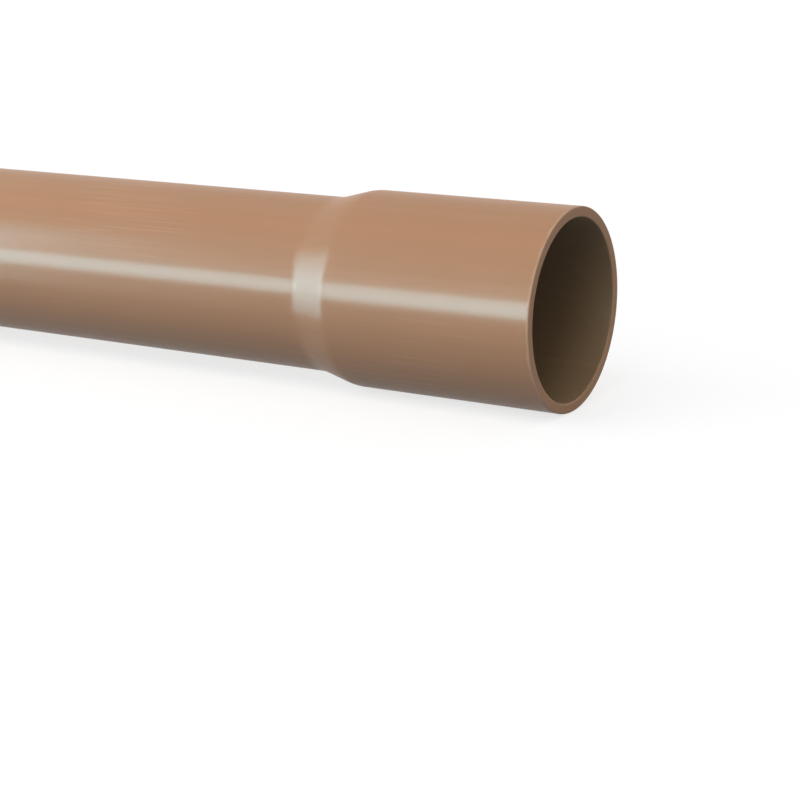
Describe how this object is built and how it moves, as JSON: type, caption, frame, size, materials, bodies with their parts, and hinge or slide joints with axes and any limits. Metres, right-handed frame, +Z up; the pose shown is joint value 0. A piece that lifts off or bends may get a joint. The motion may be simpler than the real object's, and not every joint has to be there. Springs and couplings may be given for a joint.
{
  "type": "pvc pipe",
  "caption": "Length of rigid brown PVC-U pressure pipe, DN 110, with a plain cement socket formed on one end by a short flare and a chamfered spigot on the other.",
  "frame": {"origin": "on the floor under the middle of the pipe's length, where the plane through the lowest line of the socket is z = 0", "axes": "+X along the pipe, out of the socket's mouth; +Z up, square to the pipe's axis"},
  "size_m": [3, 0.1224, 0.1227],
  "materials": {
    "pvc": "extruded rigid PVC-U, warm tan-brown, satin"
  },
  "bodies": {
    "root": {"pipe": "pvc"}
  },
  "joints": []
}
